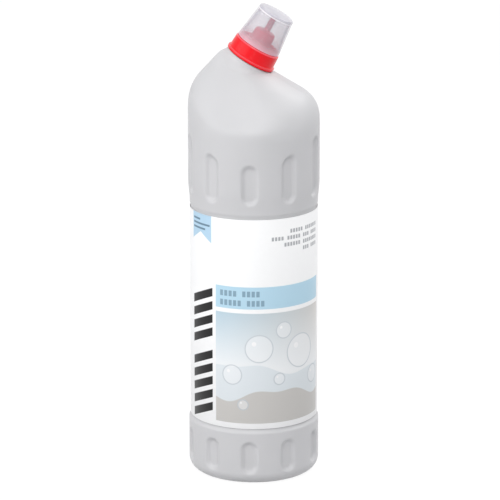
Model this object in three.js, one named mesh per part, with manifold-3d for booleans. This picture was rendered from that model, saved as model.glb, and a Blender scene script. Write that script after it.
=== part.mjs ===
// A one-litre toilet cleaner bottle with a slanted "duck neck". Millimetres, +Z up, front towards -Y.
// The blown bottle is one shell with an outer and an inner skin. A red closure base, moulded in one with
// its nozzle, snaps over the neck, and a clear overcap slides on over the nozzle along the neck's axis.
import * as THREE from "three";
import Module from "manifold-3d";
import { mergeVertices } from "three/addons/utils/BufferGeometryUtils.js";

const wasm = await Module();
wasm.setup();

// Blown bottle
const BODY_R = 40.6; // grips
const PANEL_RECESS = 1.5; // depth of the label panel
const WALL = 1.2;
const HEEL_R = 7.6; // rounding between base and side
const BASE_RING = 4.5; // width of the flat ring it stands on
const PUSH_UP = 3; // height of the hollow under the base
const LABEL_BOTTOM = 36.5;
const LABEL_HEIGHT = 133;
const PANEL_STEP = 2.2; // height of the slope between grip and panel
const PANEL_MARGIN = 0.8; // bare panel above and below the label
const TAPER_IN = 0.9; // how much the upper grip narrows towards the panel
const TAPER_HEIGHT = 14;

// Rows of thumb dimples
const DIMPLES = 10;
const DIMPLE_W = 11.4;
const DIMPLE_DEPTH = 2.2;
const DIMPLE_SLOPE = 3.4; // width of the slope round each dimple
const LOWER_DIMPLE = [6.8, 28.6]; // bottom and top heights
const UPPER_DIMPLE_BOTTOM = 178;
const UPPER_DIMPLE_TOP = 204; // at the front, rising by UPPER_DIMPLE_RISE at the sides
const UPPER_DIMPLE_RISE = 14;

// Shoulder: a cylinder cut by a ridge, a back slope and two facets, all softly joined
const NECK_TILT = 30; // degrees from upright, towards +X
const NECK_X = -2.6; // where the neck's axis passes the ledge
const LEDGE = 224.8; // distance of the ledge plane from the origin, along the neck's axis
const RIDGE_LIFT = 0.6; // ridge above the ledge plane
const RIDGE_ROUND = 36; // rounding of the ridge, seen along the shoulder
const BACK_TILT = 42.7; // degrees of the back slope's normal above the horizontal
const BACK_PLANE = 195.8;
const BACK_ROUND = 26;
const FACET_START = 222.5; // lowest point of the facet's curved edge
const FACET_LEAN = 35; // degrees from upright
const FACET_ROUND = 69;
const BLEND_RIDGE = 11;
const BLEND_BACK = 8;
const BLEND_FACET = 2.6;
const BLEND_CREASE = 5;
const CREASE_FROM = 8; // above FACET_START, where the facet's edge starts to soften
const CREASE_RISE = 12;
const SHOULDER_CENTRE = 10; // below the ledge, where the rays to the neck's root start

// Neck finish, measured along the neck's axis from the ledge
const NECK_R = 11.8;
const NECK_HEIGHT = 8.4;
const BORE_R = 9.4;
const COLLAR_R = 15; // root of the neck, which carries the ledge
const SNAP_RING_R = 12.6;
const SNAP_RING = [4, 5.6];
const FIT = 0.35; // gap between pieces that sit on one another

// Red closure base with its nozzle
const SKIRT_R = 15.1;
const SKIRT_TOP_R = 14.6;
const BEAD_R = 16;
const BEAD_H = 2.3;
const DECK_TOP = 10.4;
const MOULD_WALL = 1.2;
const UPSTAND_H = 2.2;
const NOZZLE_R = 6.75;
const NOZZLE_H = 10; // wide part, above the deck
const SPOUT_R = 1.85;
const SPOUT_H = 9.4; // thin part, above the wide part
const ORIFICE_R = 0.9;

// Clear overcap
const CAP_R = 14.1; // outside, at its foot
const CAP_TOP_R = 11.5;
const CAP_H = 23.1;
const CAP_WALL = 1.05;
const CAP_TOP = 1.3;
const SOCKET_CLEAR = 1.6; // from the wide part of the nozzle to the tube round the spout
const RIB_DEPTH = 1.8;
const RIB_W = 1.2;

// Label
const LABEL_THICK = 0.25;
const LABEL_GAP = 0.3;
const LABEL_OVERLAP = 8; // degrees that the ends overlap at the back

const panelR = BODY_R - PANEL_RECESS;
const radians = THREE.MathUtils.degToRad;
const mix = THREE.MathUtils.lerp;
const tilt = radians(NECK_TILT);
const axis = new THREE.Vector3(Math.sin(tilt), 0, Math.cos(tilt));
const across = new THREE.Vector3(Math.cos(tilt), 0, -Math.sin(tilt));
const neckFoot = new THREE.Vector3(NECK_X, 0, (LEDGE - axis.x * NECK_X) / axis.z);

// Point at an angle round the neck: 0 is the front, 90 degrees is +X.
function neckPoint(angle, radius, height) {
  return neckFoot
    .clone()
    .addScaledVector(axis, height)
    .addScaledVector(across, radius * Math.sin(angle))
    .add(new THREE.Vector3(0, -radius * Math.cos(angle), 0));
}

function softMin(a, b, width) {
  const h = Math.max(width - Math.abs(a - b), 0) / width;
  return Math.min(a, b) - (h * h * width) / 4;
}

function smoothStep(value) {
  const t = THREE.MathUtils.clamp(value, 0, 1);
  return t * t * (3 - 2 * t);
}

// Depth of a point inside each surface of the shoulder, positive inside.
const facetLean = radians(FACET_LEAN);
const backTilt = radians(BACK_TILT);
function ridgeDepth(p) {
  return LEDGE + RIDGE_LIFT - (p.y * p.y) / (2 * RIDGE_ROUND) - p.dot(axis);
}
function backDepth(p) {
  return BACK_PLANE - (p.y * p.y) / (2 * BACK_ROUND) + p.x * Math.cos(backTilt) - p.z * Math.sin(backTilt);
}
function facetDepth(p) {
  const face = BODY_R - Math.tan(facetLean) * (p.z - FACET_START) - (p.x * p.x) / (2 * FACET_ROUND);
  return (face - Math.abs(p.y)) * Math.cos(facetLean);
}
function shoulderDepth(p) {
  const side = BODY_R - Math.hypot(p.x, p.y);
  const top = softMin(softMin(side, ridgeDepth(p), BLEND_RIDGE), backDepth(p), BLEND_BACK);
  const blend = mix(BLEND_FACET, BLEND_CREASE, smoothStep((p.z - FACET_START - CREASE_FROM) / CREASE_RISE));
  return softMin(top, facetDepth(p), blend);
}

// Depth inside the shoulder together with the root of the neck, for the outer or the inner skin.
function skinDepth(p, inset, rootRadius) {
  const along = p.clone().sub(neckFoot);
  const height = along.dot(axis);
  const fromAxis = along.addScaledVector(axis, -height).length();
  const joined = -softMin(inset - shoulderDepth(p), fromAxis - rootRadius, 2);
  return inset > 0 ? joined : Math.min(joined, -height);
}

// First point along a ray at which the depth falls to zero.
function castRay(from, direction, depth) {
  let far = 1;
  while (depth(from.clone().addScaledVector(direction, far)) > 0) far += 1;
  let near = far - 1;
  for (let i = 0; i < 24; i += 1) {
    const middle = (near + far) / 2;
    if (depth(from.clone().addScaledVector(direction, middle)) > 0) near = middle;
    else far = middle;
  }
  return from.clone().addScaledVector(direction, near);
}

// Height at which the upright side meets the shoulder, at an angle round the bottle.
function edgeHeight(angle) {
  const x = BODY_R * Math.sin(angle);
  const y = -BODY_R * Math.cos(angle);
  let low = 200;
  let high = 260;
  for (let i = 0; i < 24; i += 1) {
    const z = (low + high) / 2;
    const p = new THREE.Vector3(x, y, z);
    if (Math.min(ridgeDepth(p), backDepth(p), facetDepth(p)) > 0) low = z;
    else high = z;
  }
  return low;
}

function upperDimpleTop(angle) {
  return UPPER_DIMPLE_TOP + UPPER_DIMPLE_RISE * Math.sin(angle) ** 2;
}

// How far a dimple pushes the wall in, at an angle and a height.
function dimplePush(angle, z, bottom, top) {
  const pitch = (2 * Math.PI) / DIMPLES;
  const sideways = (angle - Math.round(angle / pitch) * pitch) * BODY_R;
  const half = DIMPLE_W / 2;
  const straight = Math.max((top - bottom) / 2 - half, 0);
  const upDown = Math.max(Math.abs(z - (top + bottom) / 2) - straight, 0);
  return DIMPLE_DEPTH * smoothStep((half - Math.hypot(sideways, upDown)) / DIMPLE_SLOPE);
}

const panelBottom = LABEL_BOTTOM - PANEL_MARGIN;
const panelTop = LABEL_BOTTOM + LABEL_HEIGHT + PANEL_MARGIN;
function plainRadius(z) {
  if (z < HEEL_R) return BODY_R - HEEL_R + Math.sqrt(Math.max(HEEL_R ** 2 - (HEEL_R - z) ** 2, 0));
  const intoPanel = Math.min(z - panelBottom + PANEL_STEP, panelTop + PANEL_STEP - z) / PANEL_STEP;
  const upGrip = (z - panelTop - PANEL_STEP) / TAPER_HEIGHT;
  const taper = z > panelBottom + LABEL_HEIGHT / 2 ? TAPER_IN * (1 - smoothStep(upGrip)) : 0;
  return mix(BODY_R - taper, panelR, smoothStep(intoPanel));
}

// Columns of the skin: close together on the slopes of the dimples.
const CELL = [-18, -8, -4.6, 0, 4.6, 8];
const columns = [];
for (let i = 0; i < DIMPLES; i += 1) {
  for (const step of CELL) columns.push(radians((360 / DIMPLES) * i + (step * 10) / DIMPLES));
}

function sideRing(heightAt, inset) {
  return columns.map((angle) => {
    const z = heightAt(angle);
    const lower = dimplePush(angle, z, LOWER_DIMPLE[0], LOWER_DIMPLE[1]);
    const upper = dimplePush(angle, z, UPPER_DIMPLE_BOTTOM, upperDimpleTop(angle));
    const radius = plainRadius(z) - lower - upper - inset;
    return new THREE.Vector3(radius * Math.sin(angle), -radius * Math.cos(angle), z);
  });
}

function baseRing(radius, z) {
  return columns.map((angle) => new THREE.Vector3(radius * Math.sin(angle), -radius * Math.cos(angle), z));
}

// Rings of the shoulder, from its edge (0) to the root of the neck (1).
function shoulderRing(share, inset, rootRadius) {
  const centre = new THREE.Vector3(0, 0, FACET_START).lerp(neckPoint(0, 0, -SHOULDER_CENTRE), share);
  return columns.map((angle) => {
    const edge = new THREE.Vector3(BODY_R * Math.sin(angle), -BODY_R * Math.cos(angle), edgeHeight(angle));
    const target = edge.lerp(neckPoint(angle, rootRadius, 0), share);
    const direction = target.sub(centre).normalize();
    return castRay(centre, direction, (p) => skinDepth(p, inset, rootRadius));
  });
}

function sideShoulderRing(below, inset) {
  return columns.map((angle) => {
    const from = new THREE.Vector3(0, 0, edgeHeight(angle) - below);
    const direction = new THREE.Vector3(Math.sin(angle), -Math.cos(angle), 0);
    return castRay(from, direction, (p) => shoulderDepth(p) - inset);
  });
}

function neckRing(radius, height) {
  return columns.map((angle) => neckPoint(angle, radius, height));
}

// Heights of rings across a row of dimples, as distances from its two ends.
const dimpleSteps = [-0.3, 1, 2.3, 5, 9];
function dimpleRings(bottom, topAt, inset, steps) {
  const rings = steps.map((step) => sideRing(() => bottom + step, inset));
  for (const step of [...steps].reverse()) rings.push(sideRing((angle) => topAt(angle) - step, inset));
  return rings;
}

// Heel rings stay on the heel's arc, whatever the dimples do.
const lowerTop = () => LOWER_DIMPLE[1];
function sideRings(inset, steps, panelSteps) {
  const rings = dimpleRings(LOWER_DIMPLE[0], lowerTop, inset, steps);
  for (const share of panelSteps) rings.push(sideRing(() => panelBottom - PANEL_STEP * (1 - share), inset));
  for (const share of [...panelSteps].reverse()) {
    rings.push(sideRing(() => panelTop + PANEL_STEP * (1 - share), inset));
  }
  rings.push(...dimpleRings(UPPER_DIMPLE_BOTTOM, upperDimpleTop, inset, steps));
  return rings;
}

const standR = BODY_R - HEEL_R;
const outer = [
  baseRing(standR * 0.4, PUSH_UP * 0.9),
  baseRing(standR - BASE_RING - 3, PUSH_UP * 0.45),
  baseRing(standR - BASE_RING, 0),
  baseRing(standR, 0),
  sideRing(() => HEEL_R * 0.09, 0),
  sideRing(() => HEEL_R * 0.32, 0),
  sideRing(() => HEEL_R * 0.58, 0),
  ...sideRings(0, dimpleSteps, [0, 0.5, 1]),
  sideShoulderRing(7, 0),
  sideShoulderRing(2.5, 0),
];
for (const share of [0.02, 0.08, 0.17, 0.28, 0.4, 0.53, 0.67, 0.8, 0.9, 0.96, 1]) {
  outer.push(shoulderRing(share, 0, COLLAR_R));
}
outer.push(
  neckRing(NECK_R, 0),
  neckRing(NECK_R, SNAP_RING[0]),
  neckRing(SNAP_RING_R, SNAP_RING[0] + 0.3),
  neckRing(NECK_R + 0.2, SNAP_RING[1]),
  neckRing(NECK_R, NECK_HEIGHT - 0.5),
  neckRing(NECK_R - 0.5, NECK_HEIGHT),
);
const inner = [
  baseRing(standR * 0.4, PUSH_UP * 0.9 + WALL),
  baseRing(standR - BASE_RING - 3, PUSH_UP * 0.45 + WALL),
  baseRing(standR - BASE_RING + 1, WALL),
  baseRing(standR, WALL),
  sideRing(() => HEEL_R * 0.45, WALL),
  ...sideRings(WALL, [-0.3, 2.3, 6], [0, 1]),
  sideShoulderRing(7, WALL),
];
for (const share of [0.05, 0.25, 0.5, 0.75, 0.92, 1]) inner.push(shoulderRing(share, WALL, BORE_R));
inner.push(neckRing(BORE_R, NECK_HEIGHT - 0.3), neckRing(BORE_R + 0.3, NECK_HEIGHT));

// Joins rings into one closed skin, capped at both ends by a point on the upright axis.
function closedSkin(rings, firstCentre, lastCentre) {
  const count = rings[0].length;
  const positions = [];
  for (const ring of rings) for (const p of ring) positions.push(p.x, p.y, p.z);
  const first = rings.length * count;
  positions.push(firstCentre.x, firstCentre.y, firstCentre.z, lastCentre.x, lastCentre.y, lastCentre.z);
  const faces = [];
  for (let i = 0; i < count; i += 1) {
    const next = (i + 1) % count;
    faces.push(first, next, i);
    for (let ring = 0; ring < rings.length - 1; ring += 1) {
      const a = ring * count + i;
      const b = ring * count + next;
      faces.push(a, b, b + count, a, b + count, a + count);
    }
    const last = (rings.length - 1) * count;
    faces.push(last + i, last + next, first + 1);
  }
  const geometry = new THREE.BufferGeometry();
  geometry.setAttribute("position", new THREE.Float32BufferAttribute(positions, 3));
  geometry.setIndex(faces);
  return geometry;
}

const bottleGeometry = closedSkin(
  [...outer, ...inner.reverse()],
  new THREE.Vector3(0, 0, PUSH_UP),
  new THREE.Vector3(0, 0, PUSH_UP + WALL),
);

// Turned forms: a closed profile of radius and height, revolved about the neck's axis.
function turned(profile, segments) {
  const points = profile.map(([radius, height]) => new THREE.Vector2(radius, height));
  if (profile[0][0] > 0) points.push(points[0].clone());
  const geometry = new THREE.LatheGeometry(points, segments);
  geometry.rotateX(Math.PI / 2);
  return geometry;
}

const skirtIn = SNAP_RING_R + FIT;
const deckUnder = NECK_HEIGHT + FIT;
const nozzleTop = DECK_TOP + NOZZLE_H;
const spoutTop = nozzleTop + SPOUT_H;
const upstandR = CAP_R - CAP_WALL - FIT;
const plugR = BORE_R - FIT;
const closureGeometry = turned(
  [
    [skirtIn, FIT],
    [BEAD_R - 0.4, FIT],
    [BEAD_R, FIT + 0.4],
    [BEAD_R, BEAD_H],
    [BEAD_R - 0.2, BEAD_H + 0.25],
    [SKIRT_R, BEAD_H + 0.35],
    [SKIRT_TOP_R + 0.1, DECK_TOP - 0.7],
    [SKIRT_TOP_R - 0.2, DECK_TOP - 0.15],
    [SKIRT_TOP_R - 0.5, DECK_TOP],
    [upstandR - 0.1, DECK_TOP],
    [upstandR - 0.1, DECK_TOP + 0.8],
    [upstandR, DECK_TOP + 1.3],
    [upstandR - 0.3, DECK_TOP + UPSTAND_H],
    [upstandR - MOULD_WALL, DECK_TOP + UPSTAND_H],
    [upstandR - MOULD_WALL, DECK_TOP],
    [NOZZLE_R + 0.8, DECK_TOP],
    [NOZZLE_R + 0.1, DECK_TOP + 0.8],
    [NOZZLE_R, nozzleTop - 2],
    [NOZZLE_R - 0.4, nozzleTop - 0.8],
    [NOZZLE_R - 1.3, nozzleTop],
    [SPOUT_R + 0.6, nozzleTop + 0.2],
    [SPOUT_R + 0.1, nozzleTop + 0.8],
    [SPOUT_R - 0.1, spoutTop - 0.4],
    [SPOUT_R - 0.4, spoutTop],
    [ORIFICE_R, spoutTop],
    [ORIFICE_R, nozzleTop - MOULD_WALL + 0.2],
    [NOZZLE_R - MOULD_WALL - 0.6, nozzleTop - MOULD_WALL],
    [NOZZLE_R - MOULD_WALL, nozzleTop - MOULD_WALL - 0.8],
    [NOZZLE_R - MOULD_WALL, deckUnder],
    [plugR - MOULD_WALL + 0.1, deckUnder],
    [plugR - MOULD_WALL + 0.1, deckUnder - 2.3],
    [plugR - 0.4, deckUnder - 2.3],
    [plugR, deckUnder - 1.6],
    [plugR, deckUnder],
    [skirtIn, deckUnder],
    [skirtIn, SNAP_RING[0] - 0.1],
    [NECK_R + FIT, SNAP_RING[0] - 0.7],
    [NECK_R + FIT, SNAP_RING[0] - 1.7],
    [skirtIn, SNAP_RING[0] - 2.4],
  ],
  44,
);

const capFoot = DECK_TOP + 0.15;
const capTop = DECK_TOP + CAP_H;
const capStraight = capFoot + 1.2;
const socketR = SPOUT_R - 0.1 + FIT;
const socketFoot = nozzleTop + SOCKET_CLEAR;
const capShell = turned(
  [
    [0, capTop],
    [CAP_TOP_R - 0.6, capTop],
    [CAP_TOP_R - 0.15, capTop - 0.25],
    [CAP_TOP_R, capTop - 0.8],
    [CAP_R, capStraight],
    [CAP_R, capFoot],
    [CAP_R - CAP_WALL, capFoot],
    [CAP_R - CAP_WALL, DECK_TOP + UPSTAND_H + 0.2],
    [CAP_TOP_R - CAP_WALL, capTop - CAP_TOP],
    [socketR + 0.9, capTop - CAP_TOP],
    [socketR + 0.8, socketFoot],
    [socketR, socketFoot],
    [socketR, capTop - CAP_TOP],
    [0, capTop - CAP_TOP],
  ],
  44,
);

// Two ribs inside the overcap, on the side it tips towards and opposite.
function capRib(turn) {
  const ribFoot = DECK_TOP + UPSTAND_H + 1;
  const ribTop = capTop - CAP_TOP + 0.5;
  const innerFoot = CAP_R - CAP_WALL;
  const innerTop = CAP_TOP_R - CAP_WALL;
  const outline = new THREE.Shape([
    new THREE.Vector2(innerFoot + 0.3, ribFoot),
    new THREE.Vector2(innerTop + 0.3, ribTop),
    new THREE.Vector2(innerTop - RIB_DEPTH, ribTop),
    new THREE.Vector2(innerFoot - RIB_DEPTH, ribFoot + 1.5),
  ]);
  const rib = new THREE.ExtrudeGeometry(outline, { depth: RIB_W, bevelEnabled: false });
  rib.translate(0, 0, -RIB_W / 2);
  rib.rotateX(Math.PI / 2);
  rib.rotateZ(turn);
  return rib;
}

function toSolid(geometry) {
  const plain = geometry.clone();
  plain.deleteAttribute("normal");
  plain.deleteAttribute("uv");
  const merged = outward(mergeVertices(plain, 1e-4));
  return new wasm.Manifold(
    new wasm.Mesh({
      numProp: 3,
      vertProperties: new Float32Array(merged.attributes.position.array),
      triVerts: new Uint32Array(merged.index.array),
    }),
  );
}

function toGeometry(solid) {
  const mesh = solid.getMesh();
  const geometry = new THREE.BufferGeometry();
  geometry.setAttribute("position", new THREE.BufferAttribute(mesh.vertProperties.slice(), 3));
  geometry.setIndex(new THREE.BufferAttribute(mesh.triVerts.slice(), 1));
  return geometry;
}

let capSolid = toSolid(capShell);
for (const turn of [0, Math.PI]) capSolid = capSolid.add(toSolid(capRib(turn)));
const capGeometry = toGeometry(capSolid);

// The label is one strip wrapped round the panel, with its end laid over its start at the back.
function labelStrip() {
  const steps = 74;
  const overlap = radians(LABEL_OVERLAP);
  const start = Math.PI - overlap / 2;
  const full = 2 * Math.PI + overlap;
  const lift = LABEL_THICK + 0.12;
  const corners = [];
  for (let i = 0; i <= steps; i += 1) {
    const turn = (full * i) / steps;
    const radius = panelR + LABEL_GAP + lift * smoothStep((turn - full + 2.2 * overlap) / overlap);
    for (const [r, z] of [
      [radius, LABEL_BOTTOM],
      [radius + LABEL_THICK, LABEL_BOTTOM],
      [radius + LABEL_THICK, LABEL_BOTTOM + LABEL_HEIGHT],
      [radius, LABEL_BOTTOM + LABEL_HEIGHT],
    ]) {
      corners.push(r * Math.sin(start + turn), -r * Math.cos(start + turn), z);
    }
  }
  const faces = [0, 2, 1, 0, 3, 2];
  for (let i = 0; i < steps; i += 1) {
    for (let side = 0; side < 4; side += 1) {
      const a = 4 * i + side;
      const b = 4 * i + ((side + 1) % 4);
      faces.push(a, b, b + 4, a, b + 4, a + 4);
    }
  }
  const last = 4 * steps;
  faces.push(last, last + 1, last + 2, last, last + 2, last + 3);
  const geometry = new THREE.BufferGeometry();
  geometry.setAttribute("position", new THREE.Float32BufferAttribute(corners, 3));
  geometry.setIndex(faces);
  return geometry;
}

// Turns a mesh right side out.
function outward(geometry) {
  const index = geometry.index.array;
  const position = geometry.attributes.position;
  const a = new THREE.Vector3();
  const b = new THREE.Vector3();
  const c = new THREE.Vector3();
  let volume = 0;
  for (let i = 0; i < index.length; i += 3) {
    a.fromBufferAttribute(position, index[i]);
    b.fromBufferAttribute(position, index[i + 1]);
    c.fromBufferAttribute(position, index[i + 2]);
    volume += a.dot(b.cross(c));
  }
  if (volume < 0) for (let i = 0; i < index.length; i += 3) [index[i], index[i + 1]] = [index[i + 1], index[i]];
  geometry.computeVertexNormals();
  return geometry;
}

function namedMesh(name, geometry, color, roughness, opacity = 1) {
  const material = new THREE.MeshStandardMaterial({ color, roughness, metalness: 0, opacity });
  material.transparent = opacity < 1;
  const mesh = new THREE.Mesh(outward(geometry), material);
  mesh.name = name;
  return mesh;
}

const group = new THREE.Group();
group.name = "toilet_cleaner_bottle";
group.add(namedMesh("bottle", bottleGeometry, "#dfdfe0", 0.5));
group.add(namedMesh("label", labelStrip(), "#fbfbfb", 0.45));

const neckFrame = new THREE.Group();
neckFrame.position.copy(neckFoot);
neckFrame.rotation.y = tilt;
neckFrame.add(namedMesh("closure_with_nozzle", toGeometry(toSolid(closureGeometry)), "#e8141f", 0.35));
neckFrame.add(namedMesh("overcap", capGeometry, "#e6e6ec", 0.2, 0.45));
group.add(neckFrame);

export default group;
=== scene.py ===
# %% [markdown]
# # A toilet cleaner bottle with a slanted neck
#
# The real object has four pieces: a blown bottle with a slanted neck, a printed film label wrapped round
# it, a red closure with a nozzle, and a clear overcap. The packed CAD model is the fixed frame. This
# script dresses it: it builds a finer skin for each piece in the same place, gives each a finish, and
# sets up a plain studio. Shapes are worked out in millimetres and become metres when a mesh is made. +Z
# is up, the label's front faces -Y, and the neck leans towards +X.

import math

import bpy
import numpy as np
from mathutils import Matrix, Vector


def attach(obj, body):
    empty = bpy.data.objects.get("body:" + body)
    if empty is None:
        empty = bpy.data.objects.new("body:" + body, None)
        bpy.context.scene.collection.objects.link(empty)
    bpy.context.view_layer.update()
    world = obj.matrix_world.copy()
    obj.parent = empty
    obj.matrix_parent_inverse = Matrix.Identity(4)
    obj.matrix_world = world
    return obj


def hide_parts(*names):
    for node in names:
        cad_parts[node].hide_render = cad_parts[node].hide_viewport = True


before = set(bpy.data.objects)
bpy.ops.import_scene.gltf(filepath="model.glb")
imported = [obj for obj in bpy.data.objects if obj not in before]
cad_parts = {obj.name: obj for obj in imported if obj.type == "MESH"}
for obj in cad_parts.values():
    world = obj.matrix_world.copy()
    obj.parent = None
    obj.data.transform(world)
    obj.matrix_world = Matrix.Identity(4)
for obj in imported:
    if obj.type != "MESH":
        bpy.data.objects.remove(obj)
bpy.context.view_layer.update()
print("CAD nodes:", sorted(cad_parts))

# %% [markdown]
# ## The upright side
#
# The real bottle is one blown moulding. Its side has a rounded heel, a lower grip, a panel set in so that
# the label isn't rubbed, and an upper grip that narrows a little towards the panel. A profile with the
# Screw modifier would make the plain side, but the dimples would then need a second tool. Here a formula
# gives the radius at any height, so one grid of points can carry the profile and the dimples together.

# %% Side profile
BODY_R = 40.6
PANEL_R = BODY_R - 1.5
HEEL_R = 7.6
LABEL_BOTTOM = 36.5
LABEL_HEIGHT = 133
LABEL_TOP = LABEL_BOTTOM + LABEL_HEIGHT
PANEL_STEP = 2.2
PANEL_MARGIN = 0.8
PANEL_FROM = LABEL_BOTTOM - PANEL_MARGIN - PANEL_STEP
PANEL_TO = LABEL_TOP + PANEL_MARGIN + PANEL_STEP
TAPER_IN = 0.9
TAPER_HEIGHT = 14


def smooth_step(value):
    """0 below zero, 1 above one, and an S-shaped rise between."""
    t = np.clip(value, 0, 1)
    return t * t * (3 - 2 * t)


def plain_radius(z):
    """Radius of the side at a height, before the dimples are pressed in."""
    heel = BODY_R - HEEL_R + np.sqrt(np.maximum(HEEL_R**2 - np.maximum(HEEL_R - z, 0) ** 2, 0))
    taper = TAPER_IN * (1 - smooth_step((z - PANEL_TO) / TAPER_HEIGHT))
    grip = heel - np.where(z > LABEL_BOTTOM + LABEL_HEIGHT / 2, taper, 0)
    share = smooth_step(np.minimum(z - PANEL_FROM, PANEL_TO - z) / PANEL_STEP)
    return grip * (1 - share) + PANEL_R * share


print("side radius at 5, 20, 100 mm:", plain_radius(np.array([5.0, 20.0, 100.0])).round(2))

# %% [markdown]
# Each grip has a row of ten upright dimples for wet hands. On the real mould they are obround bosses with
# sloping walls. They could be cut with Booleans and bevelled, but a push by the distance from each
# dimple's middle line gives the same soft wall, and no cut can fail. The upper row's tops follow the
# shoulder, which stands higher at the two sides.

# %% Dimples
DIMPLES = 10
DIMPLE_W = 11.4
DIMPLE_DEPTH = 2.2
DIMPLE_SLOPE = 2.8
LOWER_DIMPLE = (6.8, 28.6)
UPPER_DIMPLE_BOTTOM = 178
UPPER_DIMPLE_TOP = 204
UPPER_DIMPLE_RISE = 14


def ring_at(angle, radius, z):
    """Points about the bottle's axis, with the angle counted from the front."""
    return np.stack([radius * np.sin(angle), -radius * np.cos(angle), z + 0 * angle], -1)


def dimple_push(angle, z, bottom, top):
    pitch = 2 * math.pi / DIMPLES
    sideways = (angle - np.round(angle / pitch) * pitch) * BODY_R
    half = DIMPLE_W / 2
    straight = np.maximum((top - bottom) / 2 - half, 0)
    up_down = np.maximum(np.abs(z - (top + bottom) / 2) - straight, 0)
    return DIMPLE_DEPTH * smooth_step((half - np.hypot(sideways, up_down)) / DIMPLE_SLOPE)


def upper_push(angle, z):
    top = UPPER_DIMPLE_TOP + UPPER_DIMPLE_RISE * np.sin(angle) ** 2
    return dimple_push(angle, z, UPPER_DIMPLE_BOTTOM, top)


def side_ring(angle, z, inset):
    push = dimple_push(angle, z, *LOWER_DIMPLE) + upper_push(angle, z)
    return ring_at(angle, plain_radius(z) - push - inset, z)


middle_push = dimple_push(0, 20, *LOWER_DIMPLE)
print("push at a lower dimple's middle, mm:", round(float(middle_push), 2))

# %% [markdown]
# ## The slanted shoulder
#
# Above the upper grip the round body turns into a neck tilted 30 degrees. Four surfaces meet there: a
# ridge that carries the neck, a slope behind it, and a flat facet on the front and on the back, which cut
# the round side in a curved edge. Sculpting or a cage of control points could make it, but it would be
# hard to keep even. Here each surface is a depth, positive inside the bottle and zero on the surface.

# %% Neck axes
TILT = math.radians(30)
NECK_X = -2.6
LEDGE = 224.8

axis = np.array([math.sin(TILT), 0, math.cos(TILT)])
across = np.array([math.cos(TILT), 0, -math.sin(TILT)])
neck_foot = np.array([NECK_X, 0, (LEDGE - axis[0] * NECK_X) / axis[2]])


def neck_ring(angle, radius, height):
    """Points about the neck's axis, at a height above its foot."""
    sideways = radius * np.sin(angle)[:, None] * across
    forward = radius * np.cos(angle)[:, None] * np.array([0, -1, 0])
    return neck_foot + sideways + forward + height * axis


print("neck foot, mm:", neck_foot.round(2))

# %% Depths of the shoulder's surfaces
RIDGE_LIFT = 0.6
RIDGE_ROUND = 36
BACK_TILT = math.radians(42.7)
BACK_PLANE = 195.8
BACK_ROUND = 26
FACET_START = 222.5
FACET_LEAN = math.radians(35)
FACET_ROUND = 69


def shoulder_depths(p):
    x, y, z = p[..., 0], p[..., 1], p[..., 2]
    ridge = LEDGE + RIDGE_LIFT - y * y / (2 * RIDGE_ROUND) - p @ axis
    back = BACK_PLANE - y * y / (2 * BACK_ROUND) + x * math.cos(BACK_TILT) - z * math.sin(BACK_TILT)
    face = BODY_R - math.tan(FACET_LEAN) * (z - FACET_START) - x * x / (2 * FACET_ROUND)
    facet = (face - np.abs(y)) * math.cos(FACET_LEAN)
    return ridge, back, facet


shoulder_middle = np.array([0, 0, FACET_START])
print("depths of ridge, back and facet at its middle, mm:", np.round(shoulder_depths(shoulder_middle), 1))

# %% [markdown]
# Blown corners are never sharp, so the surfaces are joined with a soft minimum: where two depths are
# nearly equal, the lower one is taken a little lower. Its width sets how round the corner is. The facet's
# edge is crisp at the bottom and gets softer towards the neck, as on the real bottle.

# %% Soft joins
BLEND_RIDGE = 11
BLEND_BACK = 8
BLEND_FACET = 2
BLEND_CREASE = 5
CREASE_FROM = FACET_START + 8
CREASE_FADE = 12
BLEND_NECK = 2


def soft_min(a, b, width):
    nearness = np.maximum(width - np.abs(a - b), 0) / width
    return np.minimum(a, b) - nearness * nearness * width / 4


def shoulder_depth(p):
    ridge, back, facet = shoulder_depths(p)
    side = BODY_R - np.hypot(p[..., 0], p[..., 1])
    top = soft_min(soft_min(side, ridge, BLEND_RIDGE), back, BLEND_BACK)
    share = smooth_step((p[..., 2] - CREASE_FROM) / CREASE_FADE)
    return soft_min(top, facet, BLEND_FACET + (BLEND_CREASE - BLEND_FACET) * share)


def skin_depth(p, inset, root_radius, into_neck):
    """Depth in the shoulder and the neck's root together. Only the inner skin goes on up the neck."""
    from_foot = p - neck_foot
    height = from_foot @ axis
    from_axis = np.linalg.norm(from_foot - height[..., None] * axis, axis=-1)
    joined = -soft_min(inset - shoulder_depth(p), from_axis - root_radius, BLEND_NECK)
    return joined if into_neck else np.minimum(joined, -height)


print("joined depth at its middle, mm:", shoulder_depth(shoulder_middle).round(2))

# %% [markdown]
# ## From depths to a grid of points
#
# Marching cubes would turn the depths into a mesh, but with uneven faces that show in the gloss. Instead
# each point is found by a ray: short steps until the depth falls below zero, then halvings. The rays of
# one ring start at one point, and that point moves from the body's middle to just below the neck's foot,
# so the rings tip over gradually and the faces stay even.

# %% Casting rays
RAY_STEP = 0.5
RAY_REACH = 100
HALVINGS = 24
EDGE_SEARCH = (200.0, 260.0)


def cast(start, direction, depth):
    """First points along the rays where the depth falls to zero."""
    direction = direction / np.linalg.norm(direction, axis=-1, keepdims=True)
    far = np.full(len(start), RAY_STEP)
    for _ in range(int(RAY_REACH / RAY_STEP)):
        far = np.where(depth(start + far[:, None] * direction) > 0, far + RAY_STEP, far)
    near = far - RAY_STEP
    for _ in range(HALVINGS):
        middle = (near + far) / 2
        inside = depth(start + middle[:, None] * direction) > 0
        near, far = np.where(inside, middle, near), np.where(inside, far, middle)
    return start + near[:, None] * direction


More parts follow.
